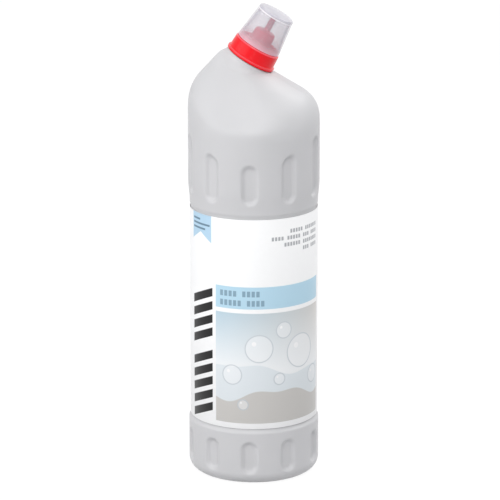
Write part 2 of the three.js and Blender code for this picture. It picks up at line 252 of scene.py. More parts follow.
def edge_height(angle):
    """Height at which the upright side would meet the unblended shoulder."""
    low, high = np.full(len(angle), EDGE_SEARCH[0]), np.full(len(angle), EDGE_SEARCH[1])
    for _ in range(HALVINGS):
        z = (low + high) / 2
        inside = np.minimum.reduce(shoulder_depths(ring_at(angle, BODY_R, z))) > 0
        low, high = np.where(inside, z, low), np.where(inside, high, z)
    return low


print("edge height at front, right, left, mm:", edge_height(np.radians([0, 90, 270])).round(1))

# %% [markdown]
# One skin is a stack of rings: level rings up the side, a few that climb to where the shoulder turns,
# and then the tipping rings. The climbing rings rise only towards the first tipping ring, column by
# column, so that no two rings cross.

# %% Rings of one skin
AIM_BELOW_FOOT = 10
CLIMB = (0.25, 0.5, 0.7, 0.84, 0.93, 0.98)


def shoulder_rings(angle, inset, shares, root_radius, into_neck):
    edge = ring_at(angle, BODY_R, edge_height(angle))
    foot = neck_ring(angle, root_radius, 0)
    low_aim, high_aim = shoulder_middle, neck_foot - AIM_BELOW_FOOT * axis
    rings = []
    for share in shares:
        aim = np.tile(low_aim * (1 - share) + high_aim * share, (len(angle), 1))
        towards = edge * (1 - share) + foot * share
        rings.append(cast(aim, towards - aim, lambda p: skin_depth(p, inset, root_radius, into_neck)))
    return rings


def skin_rings(angle, inset, side_heights, shoulder_shares, root_radius, into_neck):
    """All rings of one skin, which lies this far inside the body's outer surface."""
    side = [side_ring(angle, z, inset) for z in side_heights]
    shoulder = shoulder_rings(angle, inset, shoulder_shares, root_radius, into_neck)
    outward = ring_at(angle, 1, 0)
    for share in CLIMB:
        z = side_heights[-1] * (1 - share) + shoulder[0][:, 2] * share
        ring = cast(ring_at(angle, 0, z), outward, lambda p: shoulder_depth(p) - inset)
        side.append(ring - upper_push(angle, z)[:, None] * outward)
    rise = shoulder[0][:, 2] - side[-1][:, 2]
    print("least rise from the side to the shoulder, mm:", rise.min().round(3))
    return side + shoulder


print("rings that climb to the shoulder:", len(CLIMB))

# %% Mesh makers
def new_object(name, points, faces, body, smooth=True):
    mesh = bpy.data.meshes.new(name)
    mesh.from_pydata((np.asarray(points) / 1000).tolist(), [], faces)
    mesh.validate()
    mesh.update()
    mesh.polygons.foreach_set("use_smooth", [smooth] * len(mesh.polygons))
    piece = bpy.data.objects.new(name, mesh)
    bpy.context.scene.collection.objects.link(piece)
    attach(piece, body)
    print(name, "faces:", len(mesh.polygons))
    return piece


def ring_faces(rings, count, closed=True):
    """Quads between rings of count points, closed round the ring or open."""
    faces = []
    for ring in range(rings - 1):
        for i in range(count if closed else count - 1):
            a, b = ring * count + i, ring * count + (i + 1) % count
            faces.append((a, b, b + count, a + count))
    return faces


def end_faces(rings, count):
    """One face on the first ring and one on the last."""
    last = (rings - 1) * count
    return [tuple(reversed(range(count))), tuple(last + i for i in range(count))]


print("faces between 3 rings of 4 points:", len(ring_faces(3, 4)))

# %% [markdown]
# ## The bottle
#
# The outer skin starts at the push-up in the base, stands on a flat ring, climbs the heel and the grips,
# and ends in the neck with its snap ring. The rings are close where the form turns, at the dimples and
# the shoulder, and far apart on the plain panel under the label.

# %% Outer skin
SKIN_IN = 0.06  # keeps the outer skin just inside the CAD box
COLUMNS = 300
COLLAR_R = 15
NECK_R = 11.8
NECK_HEIGHT = 8.4
PUSH_UP = 3

columns = np.linspace(0, 2 * math.pi, COLUMNS, endpoint=False)
# radius and height of each ring in the base, and of the neck with its snap ring
base = ((0.5, PUSH_UP), (12, 2.7), (20, 1.9), (24, 1.1), (26.4, 0.3), (27, 0), (31.4, 0))
neck = (
    (NECK_R, 0), (NECK_R, 4), (NECK_R + 0.75, 4.3), (NECK_R + 0.2, 5.6), (NECK_R, 7.9),
    (NECK_R - 0.5, NECK_HEIGHT),
)
# heights of the level rings, close together where the form turns
outer_heights = np.concatenate([
    HEEL_R * (1 - np.cos(np.linspace(0.12, 1.45, 8))),
    np.arange(HEEL_R, 31, 0.9),
    np.linspace(31.5, LABEL_BOTTOM, 8),
    [80, 125],
    np.linspace(LABEL_TOP, 174, 8),
    np.arange(175.5, 184, 0.9),
    np.arange(184, 201, 2.2),
    np.arange(201, 219, 1),
])
# how far each tipping ring is on its way from the shoulder's edge to the neck's foot
outer_shares = np.concatenate([
    np.linspace(0.002, 0.12, 9),
    np.linspace(0.15, 0.9, 26),
    np.linspace(0.92, 1, 7),
])
outer = [ring_at(columns, r, z) for r, z in base]
outer += skin_rings(columns, SKIN_IN, outer_heights, outer_shares, COLLAR_R, into_neck=False)
outer += [neck_ring(columns, r, h) for r, h in neck]
print("outer rings:", len(outer))

# %% [markdown]
# The real wall is about 1.2 mm thick. A Solidify modifier would give it too, but it can fold where the
# skin turns tightly. The same functions with a larger inset give a clean inner skin, which can be coarser
# because the closure hides it.

# %% Inner skin
WALL = 1.2
BORE_R = 9.4
BORE_FLARE = 0.3

inner_base = ((0.5, PUSH_UP + WALL), (12, 3.9), (24, 2.3), (28, WALL), (31, WALL))
inner_heights = np.concatenate([
    [4, 7],
    np.arange(10, 31, 2.5),
    [33, 36, 100, 170, 174],
    np.arange(178, 219, 3),
])
inner_shares = np.linspace(0.05, 1, 12)
inner = [ring_at(columns, r, z) for r, z in inner_base]
inner += skin_rings(columns, WALL, inner_heights, inner_shares, BORE_R, into_neck=True)
inner.append(neck_ring(columns, BORE_R, NECK_HEIGHT - BORE_FLARE))
inner.append(neck_ring(columns, BORE_R + BORE_FLARE, NECK_HEIGHT))
print("inner rings:", len(inner))

# %% [markdown] The outer rings run up and the inner ones run back down, so one grid of faces makes both
# skins and the rim of the neck between them.

# %% Bottle object
rings = outer + inner[::-1]
bottle_faces = ring_faces(len(rings), COLUMNS) + end_faces(len(rings), COLUMNS)
bottle = new_object("bottle_skin", np.concatenate(rings), bottle_faces, "bottle_body")
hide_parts("bottle")

# %% [markdown]
# ## Turned pieces
#
# The closure and the overcap are injection mouldings, round about the slanted neck's axis. A Screw
# modifier on a drawn profile is the usual way. Here the profile is a list of radius and height, and the
# points are placed about the tilted axis at once. Each corner becomes a small arc, because a moulded edge
# catches a line of light that a sharp edge would not.

# %% Profile rounding and turning
SEGMENTS = 128
ARC_SHARES = (0, 1 / 3, 2 / 3, 1)
ARC_REACH = 0.4  # an arc uses at most this share of the shorter side


def rounded(profile, radius, closed=True):
    """Turns each corner of a profile into a small arc."""
    smooth = []
    for i, point in enumerate(profile):
        corner = np.array(point, float)
        if not closed and i in (0, len(profile) - 1):
            smooth.append(corner)
            continue
        before = np.array(profile[i - 1], float) - corner
        after = np.array(profile[(i + 1) % len(profile)], float) - corner
        reach = min(radius, ARC_REACH * np.linalg.norm(before), ARC_REACH * np.linalg.norm(after))
        a = corner + before / np.linalg.norm(before) * reach
        b = corner + after / np.linalg.norm(after) * reach
        smooth += [(1 - t) ** 2 * a + 2 * t * (1 - t) * corner + t * t * b for t in ARC_SHARES]
    return smooth


def turned(name, profile, body, closed=True):
    """Revolves a profile: a closed one makes a ring, an open one is capped at its two ends."""
    angle = np.linspace(0, 2 * math.pi, SEGMENTS, endpoint=False)
    points = np.concatenate([neck_ring(angle, r, h) for r, h in profile])
    faces = ring_faces(len(profile), SEGMENTS)
    last = (len(profile) - 1) * SEGMENTS
    if closed:
        faces += [(last + i, last + (i + 1) % SEGMENTS, (i + 1) % SEGMENTS, i) for i in range(SEGMENTS)]
    else:
        faces += end_faces(len(profile), SEGMENTS)
    return new_object(name, points, faces, body)


print("points on a rounded square:", len(rounded([(0, 0), (1, 0), (1, 1), (0, 1)], 0.2)))

# %% [markdown]
# The closure is one red moulding: a skirt with a bead at its foot, a deck, an upstand with a low bead
# that holds the overcap, a wide nozzle with a round shoulder and a thin spout. Inside are the snap bead
# under the neck's ring and the plug seal in the bore. The profile goes once round the cut section.

# %% Closure with nozzle
SKIRT_R = 15.05
SKIRT_TOP_R = 14.55
SKIRT_IN_R = 12.95
BEAD_R = 15.96
DECK = 10.4
NOZZLE_R = 6.75
NOZZLE_IN_R = 5.55
NOZZLE_TOP = DECK + 10
SPOUT_R = 1.75
SPOUT_BORE_R = 0.9
SPOUT_TOP = NOZZLE_TOP + 9.4
UNDER = NECK_HEIGHT + 0.35
CAP_R = 14.06
UPSTAND_R = CAP_R - 1.4
UPSTAND_IN_R = UPSTAND_R - 1.2
UPSTAND_TOP = DECK + 2.2
PLUG_R = 9.05
PLUG_IN_R = 7.95
PLUG_FOOT = UNDER - 2.3
SNAP_R = 12.15
CLOSURE_ROUND = 0.35

# radius and height, from the skirt's inner foot out, up over the deck and the spout, and down inside
bead = [
    (SKIRT_IN_R, 0.4), (BEAD_R - 0.4, 0.4), (BEAD_R, 0.8), (BEAD_R, 2.2), (BEAD_R - 0.2, 2.5),
    (SKIRT_R, 2.62),
]
deck = [
    (SKIRT_TOP_R + 0.1, DECK - 0.7), (SKIRT_TOP_R - 0.2, DECK - 0.15), (SKIRT_TOP_R - 0.5, DECK),
    (UPSTAND_R - 0.1, DECK), (UPSTAND_R - 0.1, DECK + 0.8), (UPSTAND_R, DECK + 1.3),
    (UPSTAND_R - 0.3, UPSTAND_TOP), (UPSTAND_IN_R, UPSTAND_TOP), (UPSTAND_IN_R, DECK),
]
nozzle = [
    (NOZZLE_R + 0.8, DECK), (NOZZLE_R + 0.1, DECK + 0.8), (NOZZLE_R, NOZZLE_TOP - 2),
    (NOZZLE_R - 0.4, NOZZLE_TOP - 0.8), (NOZZLE_R - 1.3, NOZZLE_TOP),
]
spout = [
    (SPOUT_R + 0.7, NOZZLE_TOP + 0.2), (SPOUT_R + 0.2, NOZZLE_TOP + 0.8), (SPOUT_R, SPOUT_TOP - 0.4),
    (SPOUT_R - 0.3, SPOUT_TOP), (SPOUT_BORE_R, SPOUT_TOP), (SPOUT_BORE_R, NOZZLE_TOP - 1),
]
plug = [
    (NOZZLE_IN_R - 0.6, NOZZLE_TOP - 1.2), (NOZZLE_IN_R, NOZZLE_TOP - 2), (NOZZLE_IN_R, UNDER),
    (PLUG_IN_R, UNDER), (PLUG_IN_R, PLUG_FOOT), (PLUG_R - 0.4, PLUG_FOOT), (PLUG_R, PLUG_FOOT + 0.7),
    (PLUG_R, UNDER),
]
snap = [(SKIRT_IN_R, UNDER), (SKIRT_IN_R, 3.9), (SNAP_R, 3.3), (SNAP_R, 2.3), (SKIRT_IN_R, 1.6)]
closure_profile = rounded(bead + deck + nozzle + spout + plug + snap, CLOSURE_ROUND)
closure = turned("closure_moulding", closure_profile, "bottle_body")
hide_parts("closure_with_nozzle")

# %% [markdown]
# The overcap is one clear moulding: a tapered shell with a flat end wall, a short tube inside the end
# wall that goes over the spout, and two thin ribs that show as grey lines. The profile starts and ends on
# the axis, so it is an open one.

# %% Overcap
CAP_TOP_R = 11.46
CAP_TOP = DECK + 23.1
CAP_FOOT = DECK + 0.2
CAP_WALL = 1
CAP_CEILING = CAP_TOP - 1.3
TUBE_R = 3.1
TUBE_BORE_R = 2.1
TUBE_FOOT = NOZZLE_TOP + 1.7
CAP_ROUND = 0.3
NEAR_AXIS = 0.02  # an open profile stops this close to the axis

# radius and height, from the axis out over the end wall, down to the foot, and back up inside
cap_outside = [
    (NEAR_AXIS, CAP_TOP), (CAP_TOP_R - 0.65, CAP_TOP), (CAP_TOP_R - 0.15, CAP_TOP - 0.28),
    (CAP_TOP_R, CAP_TOP - 0.8), (CAP_R, DECK + 1.35), (CAP_R, CAP_FOOT),
]
cap_inside = [
    (CAP_R - CAP_WALL, CAP_FOOT), (CAP_R - CAP_WALL, DECK + 2.4), (CAP_TOP_R - CAP_WALL, CAP_CEILING),
    (TUBE_R, CAP_CEILING), (TUBE_R - 0.15, TUBE_FOOT), (TUBE_BORE_R + 0.05, TUBE_FOOT),
    (TUBE_BORE_R, CAP_CEILING), (NEAR_AXIS, CAP_CEILING),
]
cap_profile = rounded(cap_outside + cap_inside, CAP_ROUND, closed=False)
overcap = turned("overcap_moulding", cap_profile, "overcap_body", closed=False)
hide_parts("overcap")

# %% Ribs inside the overcap
RIB_THICK = 1.2
RIB_DEPTH = 1.8
RIB_FOOT = DECK + 3.2
RIB_FOOT_RISE = 1.5


def cap_rib(name, side):
    """A thin rib on the shell's inner wall, from near its foot to its end wall."""
    corners = [
        (CAP_R - CAP_WALL, RIB_FOOT),
        (CAP_TOP_R - CAP_WALL, CAP_CEILING),
        (CAP_TOP_R - CAP_WALL - RIB_DEPTH, CAP_CEILING),
        (CAP_R - CAP_WALL - RIB_DEPTH, RIB_FOOT + RIB_FOOT_RISE),
    ]
    points = []
    for y in (-RIB_THICK / 2, RIB_THICK / 2):
        points += [neck_foot + side * r * across + h * axis + np.array([0, y, 0]) for r, h in corners]
    faces = [(0, 1, 2, 3), (7, 6, 5, 4)] + [(i, 4 + i, 4 + (i + 1) % 4, (i + 1) % 4) for i in range(4)]
    return new_object(name, points, faces, "overcap_body", smooth=False)


ribs = [cap_rib("overcap_rib_near", 1), cap_rib("overcap_rib_far", -1)]

# %% [markdown]
# ## The label
#
# The real label is a thin printed film, wrapped once round the panel with its end lapped over its start
# at the back. A plane with a Curve modifier would do, but the film's rounded edges and the lap are easier
# to place as a section that is swept round. The film lifts a little where it climbs over its own start.

# %% Label film
LABEL_R = PANEL_R + 0.3
LABEL_THICK = 0.25
EDGE_IN = 0.08
EDGE_UP = 0.12
OVERLAP = math.radians(8)
LAP_LIFT = 0.34
LIFT_BEFORE_END = 2.2 * OVERLAP
FILM_COLUMNS = 260

turn = np.linspace(0, 2 * math.pi + OVERLAP, FILM_COLUMNS)
lift = LAP_LIFT * smooth_step((turn - turn[-1] + LIFT_BEFORE_END) / OVERLAP)
around = math.pi - OVERLAP / 2 + turn
section = [
    (0, LABEL_BOTTOM), (LABEL_THICK - EDGE_IN, LABEL_BOTTOM), (LABEL_THICK, LABEL_BOTTOM + EDGE_UP),
    (LABEL_THICK, LABEL_TOP - EDGE_UP), (LABEL_THICK - EDGE_IN, LABEL_TOP), (0, LABEL_TOP),
]
label_points = [ring_at(around, LABEL_R + lift + out, height) for out, height in section]
rows = len(section)
last = (rows - 1) * FILM_COLUMNS
label_faces = ring_faces(rows, FILM_COLUMNS, closed=False)
label_faces += [(last + i, last + i + 1, i + 1, i) for i in range(FILM_COLUMNS - 1)]
label_faces += [tuple(row * FILM_COLUMNS + end for row in range(rows)) for end in (0, FILM_COLUMNS - 1)]
label = new_object("label_film", np.concatenate(label_points), label_faces, "bottle_body")
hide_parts("label")

# %% [markdown]
# A mesh from points may have faces that look inwards, and smooth shading would round off its real edges.
# Both are put right in one pass over the pieces: the normals are turned outwards, and edges that bend
# more than 42 degrees are marked sharp.

# %% Normals and sharp edges
SHARP = math.radians(42)


def tidy_surface(piece):
    bpy.context.view_layer.objects.active = piece
    piece.select_set(True)
    bpy.ops.object.mode_set(mode="EDIT")
    bpy.ops.mesh.select_all(action="SELECT")
    bpy.ops.mesh.normals_make_consistent(inside=False)
    bpy.ops.object.mode_set(mode="OBJECT")
    piece.select_set(False)
    piece.data.set_sharp_from_angle(angle=SHARP)


pieces = (bottle, closure, overcap, label, *ribs)
for piece in pieces:
    tidy_surface(piece)
print("surfaces tidied:", len(pieces))

# %% [markdown]
# ## Writing materials as sums
#
# A material is a graph of small nodes. Placing and linking them by hand is slow to read in a script, so
# one small class stands for a node's output, and + - * / on it add the Math nodes. Its add method makes
# any other node from its type, its settings and the values of its inputs.

# %% Socket wrapper
class Socket:
    """One output of a node, or the graph itself where no output is given."""

    def __init__(self, tree, socket=None):
        self.tree, self.socket = tree, socket

    def add(self, kind, settings=None, *values, **named):
        """Adds a node, fills its inputs in order or by name, and gives its first output."""
        made = self.tree.nodes.new(kind)
        for name, value in (settings or {}).items():
            setattr(made, name, value)
        inputs = [socket for socket in made.inputs if socket.enabled]
        by_name = {socket.name: socket for socket in inputs}
        filled = list(zip(inputs, values)) + [(by_name[name], value) for name, value in named.items()]
        for socket, value in filled:
            if isinstance(value, Socket):
                self.tree.links.new(value.socket, socket)
            else:
                socket.default_value = value
        return Socket(self.tree, [socket for socket in made.outputs if socket.enabled][0])

    def output(self, name):
        """Another output of the same node."""
        return Socket(self.tree, self.socket.node.outputs[name])

    def into(self, node, name):
        self.tree.links.new(self.socket, node.inputs[name])

    def calc(self, operation, *values):
        return self.add("ShaderNodeMath", {"operation": operation}, *values)

    def vector(self, operation, *values):
        return self.add("ShaderNodeVectorMath", {"operation": operation}, *values)

    def __add__(self, other):
        return self.calc("ADD", self, other)

    def __mul__(self, other):
        return self.calc("MULTIPLY", self, other)

    __radd__, __rmul__ = __add__, __mul__

    def __sub__(self, other):
        return self.calc("SUBTRACT", self, other)

    def __rsub__(self, other):
        return self.calc("SUBTRACT", other, self)

    def __truediv__(self, other):
        return self.calc("DIVIDE", self, other)

    def __rtruediv__(self, other):
        return self.calc("DIVIDE", other, self)

    def __neg__(self):
        return self * -1

    def __abs__(self):
        return self.calc("ABSOLUTE", self)

    def sin(self):
        return self.calc("SINE", self)

    def least(self, other):
        return self.calc("MINIMUM", self, other)

    def most(self, other):
        return self.calc("MAXIMUM", self, other)

    def clamped(self):
        return self.add("ShaderNodeMath", {"operation": "ADD", "use_clamp": True}, self, 0)

    def step(self, width):
        """0 below zero, 1 above it, over a soft edge of this width."""
        ramp = {"operation": "MULTIPLY_ADD", "use_clamp": True}
        return self.add("ShaderNodeMath", ramp, self, 1 / width, 0.5)

    def mix(self, first, second):
        """The first colour where this is 0, the second where it is 1."""
        return self.add("ShaderNodeMix", {"data_type": "RGBA"}, self, first, second)


print("socket methods:", [name for name in vars(Socket) if not name.startswith("_")])


# %% Material helpers
def linear(red, green, blue):
    """A colour as it is seen, 0 to 255, in the linear light that Blender works in."""
    seen = np.array([red, green, blue]) / 255
    light = np.where(seen <= 0.04045, seen / 12.92, ((seen + 0.055) / 1.055) ** 2.4)
    return (*light.tolist(), 1)


def new_material(name, **constants):
    """A material, its wrapper and its shader. A value that is the same all over is set on the shader."""
    material = bpy.data.materials.new(name)
    material.use_nodes = True
    shader = material.node_tree.nodes["Principled BSDF"]
    for socket, value in constants.items():
        shader.inputs[socket.replace("_", " ")].default_value = value
    return material, Socket(material.node_tree), shader


def noise(graph, place, scale, detail=2):
    return graph.add("ShaderNodeTexNoise", None, Vector=place, Scale=scale, Detail=detail)


def bump(graph, shader, height, strength, distance):
    bumped = graph.add("ShaderNodeBump", None, Height=height, Strength=strength, Distance=distance)
    bumped.into(shader, "Normal")


print("light grey in linear light:", np.round(linear(204, 204, 204), 3))

# %% [markdown]
# ## Bottle finish
#
# The real bottle is white blown polyethylene: satin, faintly uneven because the hot tube was stretched,
# with a fine grain from the sand-blasted mould. A flat grey would look like paper. A slow cloud varies
# the colour, the cloud and the grain vary the gloss, and grain and ripple together give a shallow bump.
# A little light passes into the wall, so the subsurface weight is small and even.

# %% Bottle material
plastic, graph, shader = new_material(
    "blown_polyethylene",
    IOR=1.5,
    Subsurface_Weight=0.12,
    Subsurface_Radius=(0.004, 0.0038, 0.0036),
    Subsurface_Scale=1,
)
place = graph.add("ShaderNodeTexCoord").output("Object")
cloudy = noise(graph, place, 28, 3)
grain = noise(graph, place, 900)
ripple = noise(graph, place, 120, 1)
cloudy.mix(linear(201, 201, 202), linear(207, 206, 208)).into(shader, "Base Color")
(cloudy * 0.08 + grain * 0.06 + 0.36).into(shader, "Roughness")
bump(graph, shader, grain * 0.5 + ripple, 0.12, 0.0003)
bottle.data.materials.append(plastic)
print("bottle material nodes:", len(plastic.node_tree.nodes))

# %% [markdown]
# ## Closure finish
#
# The closure is red injection-moulded plastic, glossier than the bottle. Its rounded edges get painted
# highlights, lighter lines of pink for the light they catch, and the nozzle under the overcap gets
# painted shade, a deeper, bluer red than the rest of the same moulding. The edges could be picked out
# with the
# Bevel node, but it is slow to sample. Distance from the neck's axis and height above its foot say where
# each edge is, so the material works them out first.

# %% Places about the neck's axis
def neck_place(graph, place):
    """Distance from the neck's axis and height above its foot, in millimetres."""
    from_foot = graph.vector("SUBTRACT", place, tuple(neck_foot / 1000))
    height = graph.vector("DOT_PRODUCT", from_foot, tuple(axis))
    outward = graph.vector("SUBTRACT", from_foot, graph.vector("SCALE", tuple(axis), height))
    return graph.vector("LENGTH", outward) * 1000, height * 1000


print("the neck's axis:", axis.round(3), "from, mm:", neck_foot.round(2))

# %% Closure material
red, graph, shader = new_material("red_moulding", IOR=1.5, Specular_IOR_Level=0.25)
place = graph.add("ShaderNodeTexCoord").output("Object")
radius, height = neck_place(graph, place)
flow = noise(graph, place, 60)
# painted highlights: the deck's rounded edge and the bead's top get lighter pink lines for the light they
# catch
deck_edge_highlight = (height - (DECK - 0.8)).step(0.3) * (radius - (SKIRT_TOP_R - 0.75)).step(0.3)
bead_edge_highlight = (radius - (SKIRT_R + 0.45)).step(0.2) * (height - 1.6).step(0.4)
# painted shade: the nozzle under the overcap is made a darker, bluer red than the same moulding elsewhere
nozzle_shade = (height - (DECK + 3)).step(1)
tone = flow.mix(linear(232, 8, 22), linear(244, 14, 30))
tone = (deck_edge_highlight * 0.6).mix(tone, linear(255, 120, 132))
tone = (bead_edge_highlight * 0.4).mix(tone, linear(255, 110, 120))
tone = (nozzle_shade * 0.6).mix(tone, linear(200, 6, 60))
tone.into(shader, "Base Color")
(flow * 0.08 + 0.16).into(shader, "Roughness")
bump(graph, shader, noise(graph, place, 700), 0.05, 0.0002)
closure.data.materials.append(red)
print("closure material nodes:", len(red.node_tree.nodes))

# %% [markdown]
# ## Overcap finish
#
# The overcap is natural polypropylene: clear but milky. It looks whitest where the wall is seen edge-on,
# at its thick foot and at its end wall. Transmission with refraction would be closer to the real thing,
# but it needs many light paths through several walls. Here the surface is a veil, partly transparent
# through Alpha, and thicker where more plastic lies in the line of sight. The foot is painted pink as a
# painted reflection of the red deck, a thin band just below the end wall's edge is a painted highlight in
# near white, and the tube inside is kept clearer than the shell.

# %% Overcap material
FOOT_FADE = 8
TUBE_MASK_R = TUBE_R + 0.6

clear, graph, shader = new_material("clear_moulding", IOR=1.5)
place = graph.add("ShaderNodeTexCoord").output("Object")
radius, height = neck_place(graph, place)
cloud = noise(graph, place, 90)
foot = ((DECK + FOOT_FADE - height) / FOOT_FADE).clamped()
foot = foot * foot
end_wall = (height - (CAP_TOP - 2.3)).step(0.2)
# painted highlight: a thin band on the wall just below the end wall is made near white and less clear
rim_highlight = end_wall * (CAP_TOP - 1.5 - height).step(0.2) * (radius - (CAP_TOP_R - 0.75)).step(0.3)
tube = (TUBE_MASK_R - radius).step(0.3) * (1 - end_wall)
tone = cloud.mix(linear(207, 205, 216), linear(219, 218, 227))
# painted reflection: the foot is tinted pink for the red deck seen in the clear wall
tone = (foot * 0.8).mix(tone, linear(255, 206, 220))
tone = (rim_highlight * 0.8).mix(tone, linear(250, 246, 250))
tone.into(shader, "Base Color")
(cloud * 0.06 + 0.06).into(shader, "Roughness")
edge_on = graph.add("ShaderNodeLayerWeight", None, Blend=0.35).output("Facing")
veil = edge_on * edge_on * 0.3 + cloud * 0.06 + 0.21 + foot * 0.36 + end_wall * 0.22 + rim_highlight * 0.25
(veil * (1 - tube * 0.7)).into(shader, "Alpha")
bump(graph, shader, noise(graph, place, 500), 0.05, 0.0002)
for piece in (overcap, *ribs):
    piece.data.materials.append(clear)
print("overcap material nodes:", len(clear.node_tree.nodes))

# %% [markdown]
# ## Label print
#
# The real film is printed in flat inks. An image would be the usual way, but this part uses plain fields
# of its own design, so the print is drawn by the material: u is the distance round the film from its
# front and v the height, both in millimetres. Each mask is 1 inside its shape, and the colours are laid
# on one over the other, as inks are.

# %% Label coordinates
film, graph, shader = new_material("printed_film", IOR=1.45, Specular_IOR_Level=0.3)
place = graph.add("ShaderNodeTexCoord").output("Object")
split = graph.add("ShaderNodeSeparateXYZ", None, place)
u = graph.calc("ARCTAN2", split.output("X"), -split.output("Y")) * (LABEL_R + LABEL_THICK)
v = split.output("Z") * 1000
film_grain = noise(graph, place, 300)
print("label's way round, mm:", round(2 * math.pi * (LABEL_R + LABEL_THICK), 1))


# %% Masks
def field(left, right, bottom, top, soft=0.25):
    """1 inside a rectangle, 0 outside."""
    return (u - left).least(right - u).least((v - bottom).least(top - v)).step(soft)


def stripes(along, start, pitch, share, soft):
    """1 on stripes that fill a share of each pitch, 0 between them."""
    phase = graph.calc("FRACT", (along - start) / pitch)
    return (share / 2 - abs(phase - share / 2)).step(soft)


def distance_to(centre_u, centre_v):
    du, dv = u - centre_u, v - centre_v
    return graph.calc("SQRT", du * du + dv * dv)


print("nodes before any mask:", len(film.node_tree.nodes))

# %% [markdown]
# The largest field is a picture of clean water: a sky that is bluer at the left, two soft waves and a few
# bubbles. Sums of sines make waves that never repeat in step. A bubble is a pale disc, a thin darker ring
# and a glint.

# %% Picture field
FIELD_LEFT = -22.2
FIELD_RIGHT = 55.8
PICTURE_BOTTOM = 40
PICTURE_TOP = 110.5
HORIZON = 74
LOW_WAVE = 58

high_wave = HORIZON + 3.6 * (u * 0.075 + 2).sin() + 1.2 * (u * 0.19).sin()
low_wave = LOW_WAVE + 3.2 * (u * 0.09).sin() + 1.4 * (u * 0.21 + 1).sin()
to_right = ((u - FIELD_LEFT) / (FIELD_RIGHT - FIELD_LEFT)).clamped()
to_top = ((v - HORIZON) / (PICTURE_TOP - HORIZON)).clamped()
picture = to_top.mix(linear(247, 249, 250), to_right.mix(linear(188, 211, 223), linear(216, 212, 207)))
picture = ((high_wave - v).step(0.6) * 0.85).mix(picture, linear(226, 233, 237))
picture = ((low_wave - v).step(0.6) * 0.9).mix(picture, linear(205, 201, 196))
print("picture nodes so far:", len(film.node_tree.nodes))

# %% Bubbles
# place round and up the label, and radius
BUBBLES = (
    (6, 88, 9), (22, 99, 5.5), (35, 84, 11), (-11, 71, 6.5), (19, 68, 4), (48, 66, 6), (-4, 52, 3.6),
)
RING = 0.7
GLINT_SIZE = 0.16  # both as shares of the bubble's radius
GLINT_OFF = 0.35

for centre_u, centre_v, size in BUBBLES:
    far = distance_to(centre_u, centre_v)
    ring = (RING / 2 - abs(far - size + RING / 2)).step(0.3)
    off = size * GLINT_OFF
    glint = size * GLINT_SIZE - distance_to(centre_u - off, centre_v + off)
    picture = ((size - far).step(0.3) * 0.45).mix(picture, linear(250, 251, 252))
    picture = (ring * 0.55).mix(picture, linear(176, 186, 194))
    picture = (glint.step(0.3) * 0.9).mix(picture, linear(255, 255, 255))
print("bubbles:", len(BUBBLES))

# %% [markdown]
# Over the white film come the picture, a blue band above it and a pale ribbon with a notched end and
# three dark dashes. The notch is a triangle taken out of the ribbon's bottom edge.

# %% Band and ribbon
BAND = (113.2, 127.2)
RIBBON = (-45.2, -25.6, 152.5, LABEL_TOP)
NOTCH_SLOPE = 0.6
DASH_LEFT = -44
DASH_BOTTOM = 165.4
DASH_THICK = 1.2
DASH_PITCH = 2.8
DASH_LENGTHS = (8, 17, 13)

ribbon_half = (RIBBON[1] - RIBBON[0]) / 2
notch_edge = RIBBON[2] + (ribbon_half - abs(u - RIBBON[0] - ribbon_half)) * NOTCH_SLOPE
ribbon = field(*RIBBON) * (v - notch_edge).step(0.3)
ink = film_grain.mix(linear(249, 249, 249), linear(252, 252, 252))
ink = field(FIELD_LEFT, FIELD_RIGHT, PICTURE_BOTTOM, PICTURE_TOP).mix(ink, picture)
ink = field(FIELD_LEFT, FIELD_RIGHT, *BAND).mix(ink, linear(184, 217, 234))
ink = ribbon.mix(ink, linear(180, 210, 231))
for row, length in enumerate(DASH_LENGTHS):
    bottom = DASH_BOTTOM - DASH_PITCH * row
    dash = field(DASH_LEFT, DASH_LEFT + length, bottom, bottom + DASH_THICK)
    ink = (dash * 0.75).mix(ink, linear(52, 88, 110))
print("ribbon width, mm:", round(2 * ribbon_half, 1))

# %% [markdown]
# Small blocks in groups, grey at the top right and blue-grey on the band, and a column of dark slanted
# bars at the left give the print its scale. All are stripes cut off by fields, so a row costs only a few
# nodes.

# %% Blocks
BLOCK_SHARE = 0.72
SMALL_RIGHT = 53.6
SMALL_BOTTOM = 160
SMALL_TALL = 2.4
SMALL_PITCH = 2.1
SMALL_ROW = 4.1
SMALL_GROUPS = ((5, 7), (4, 5, 3, 4), (6, 8), (3, 4))
LARGE_LEFT = -19
LARGE_BOTTOM = 121
LARGE_TALL = 3.6
LARGE_PITCH = 2.9
LARGE_ROW = 5.9
LARGE_GROUPS = ((4, 4), (5, 4))


def blocks(left, bottom, tall, pitch, groups):
    """A row of blocks in groups, given by how many blocks each group has."""
    first, row = 0, None
    for number in groups:
        group = field(left + first * pitch, left + (first + number) * pitch, bottom, bottom + tall, 0.2)
        row = group if row is None else row.most(group)
        first += number + 1
    return row * stripes(u, left, pitch, BLOCK_SHARE, 0.12)


for row, groups in enumerate(SMALL_GROUPS):
    left = SMALL_RIGHT - SMALL_PITCH * (sum(groups) + len(groups) - 1)
    mask = blocks(left, SMALL_BOTTOM - SMALL_ROW * row, SMALL_TALL, SMALL_PITCH, groups)
    ink = (mask * 0.7).mix(ink, linear(120, 124, 130))
for row, groups in enumerate(LARGE_GROUPS):
    mask = blocks(LARGE_LEFT, LARGE_BOTTOM - LARGE_ROW * row, LARGE_TALL, LARGE_PITCH, groups)
    ink = (mask * 0.6).mix(ink, linear(84, 112, 134))
print("print nodes with blocks:", len(film.node_tree.nodes))

# %% Slanted bars
BARS_LEFT = -44.6
BARS_RIGHT = -24.8
BARS_LEVEL_AT = -34.6  # where round the label a bar has its own height
BAR_PITCH = 8.4
BAR_THICK = 5.4
BAR_SLOPE = 0.4
BAR_GROUPS = ((42, 5), (90, 4))  # height of the first bar, number of bars

